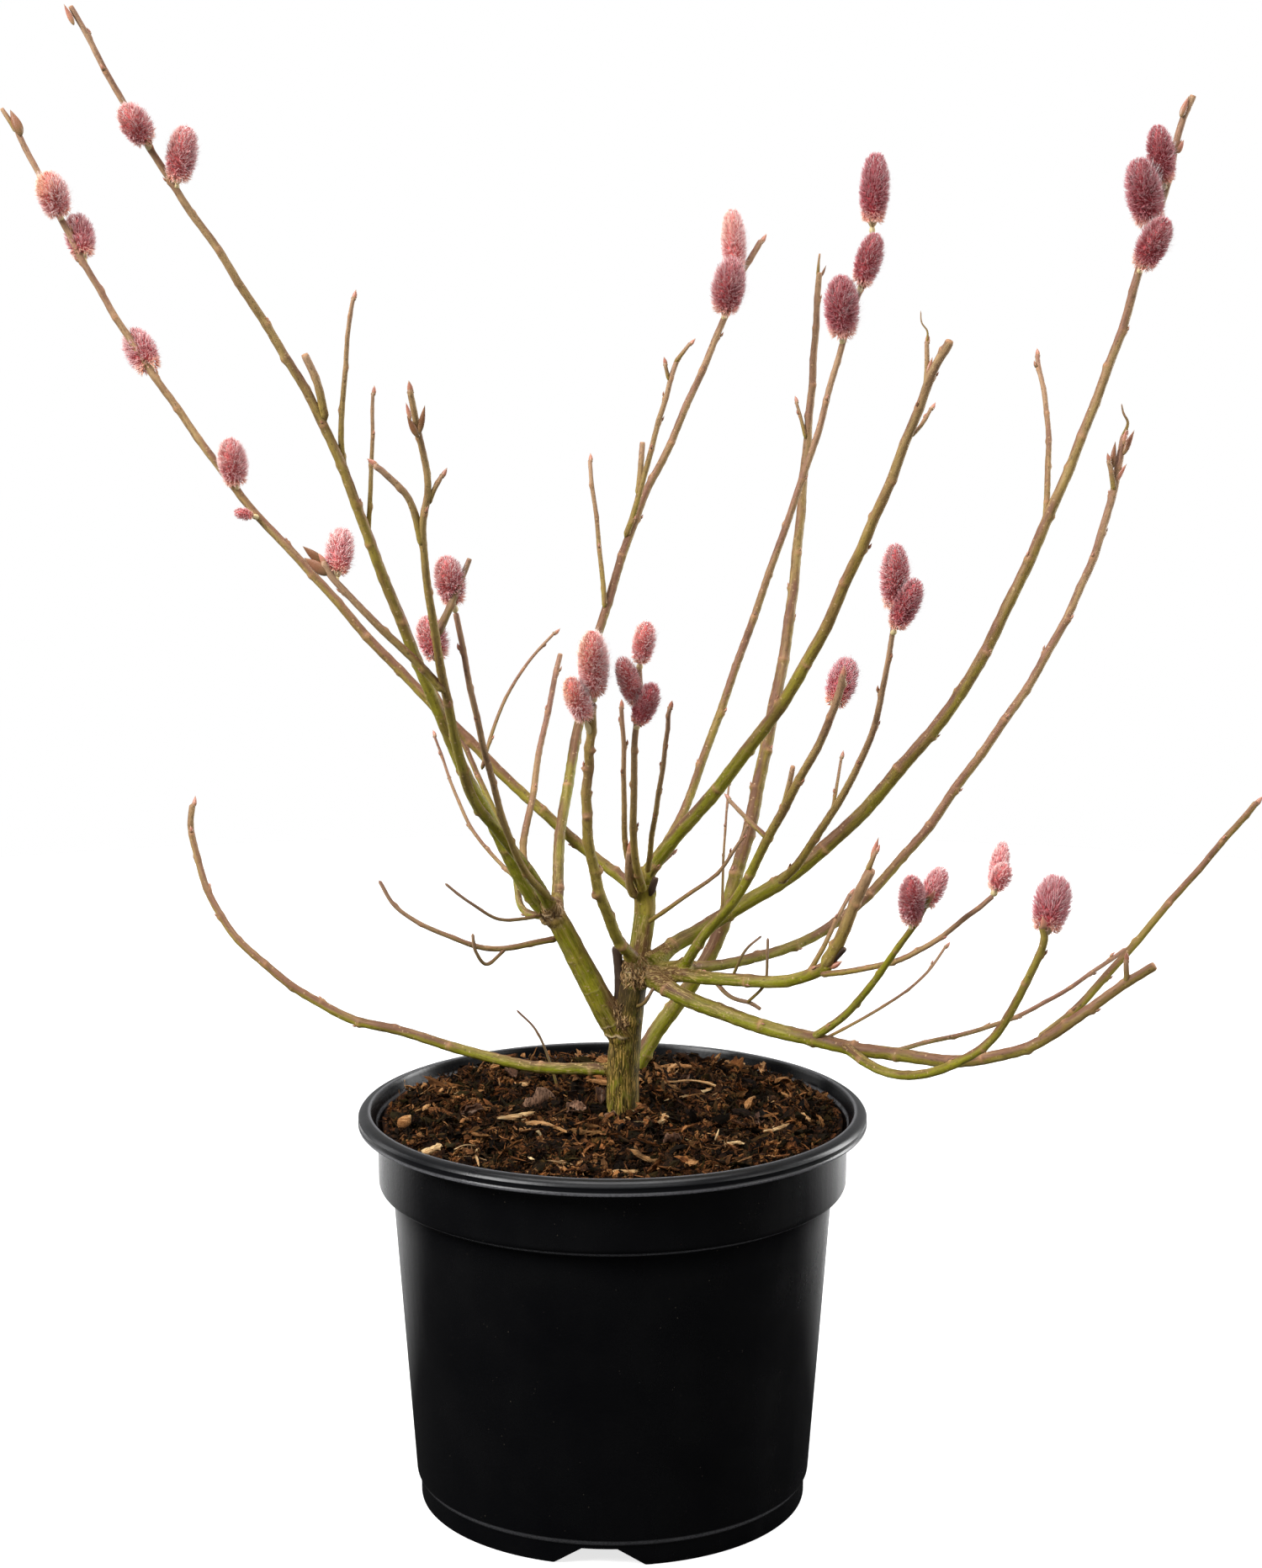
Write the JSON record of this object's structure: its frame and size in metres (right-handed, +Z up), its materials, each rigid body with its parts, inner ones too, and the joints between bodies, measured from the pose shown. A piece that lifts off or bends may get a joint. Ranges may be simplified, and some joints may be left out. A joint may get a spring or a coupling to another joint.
{
  "type": "potted pink pussy willow",
  "caption": "Young pink pussy willow with furry catkins on slender bare shoots, growing in a black plastic nursery pot filled with mulch.",
  "frame": {"origin": "pot axis at floor level, under the middle of the foot ring", "axes": "+Z up along the pot axis, +X to the right and +Y to the back as seen from the plant's front"},
  "size_m": [0.4518, 0.276, 0.5465],
  "materials": {
    "pot_plastic": "black injection-moulded polypropylene, semi-gloss, with fine dust",
    "mulch": "dark composted bark and peat mulch, dry on top, with lighter chips and dead leaves",
    "old_bark": "olive-green bark with tan vertical fissures and branch collars",
    "young_bark": "smooth olive to tan bark, glossy, with pale lenticels and orange node scars",
    "catkin_fur": "silky silver-pink hairs over a dusty rose core, cream bracts at the base"
  },
  "bodies": {
    "root": {"pot": "pot_plastic", "soil": "mulch", "trunk": "old_bark", "back_stem": "young_bark", "far_left_shoot": "young_bark", "left_tall_shoot": "young_bark", "mid_left_shoot": "young_bark", "left_catkin_shoot": "young_bark", "left_inner_shoot": "young_bark", "left_bud_shoot": "young_bark", "centre_tall_shoot": "young_bark", "centre_twig": "young_bark", "front_dark_shoot": "young_bark", "front_catkin_shoot": "young_bark", "low_left_shoot": "young_bark", "mid_right_shoot": "young_bark", "mid_tall_shoot": "young_bark", "right_main_shoot": "young_bark", "right_side_twig": "young_bark", "right_slim_shoot": "young_bark", "right_inner_shoot": "young_bark", "right_low_limb": "young_bark", "cut_shoot": "young_bark", "right_low_twig": "young_bark", "right_back_shoot": "young_bark", "low_right_shoot": "young_bark", "low_right_front_shoot": "young_bark", "low_right_slim_shoot": "young_bark", "low_right_tip_shoot": "young_bark", "low_right_catkin_shoot": "young_bark", "catkin_01": "catkin_fur", "catkin_02": "catkin_fur", "catkin_03": "catkin_fur", "catkin_04": "catkin_fur", "catkin_05": "catkin_fur", "catkin_06": "catkin_fur", "catkin_07": "catkin_fur", "catkin_08": "catkin_fur", "catkin_09": "catkin_fur", "catkin_10": "catkin_fur", "catkin_11": "catkin_fur", "catkin_12": "catkin_fur", "catkin_13": "catkin_fur", "catkin_14": "catkin_fur", "catkin_15": "catkin_fur", "catkin_16": "catkin_fur", "catkin_17": "catkin_fur", "catkin_18": "catkin_fur", "catkin_19": "catkin_fur", "catkin_20": "catkin_fur", "catkin_21": "catkin_fur", "catkin_22": "catkin_fur", "catkin_23": "catkin_fur", "catkin_24": "catkin_fur", "catkin_25": "catkin_fur", "catkin_26": "catkin_fur", "catkin_27": "catkin_fur", "catkin_28": "catkin_fur", "catkin_29": "catkin_fur", "catkin_30": "catkin_fur"}
  },
  "joints": []
}
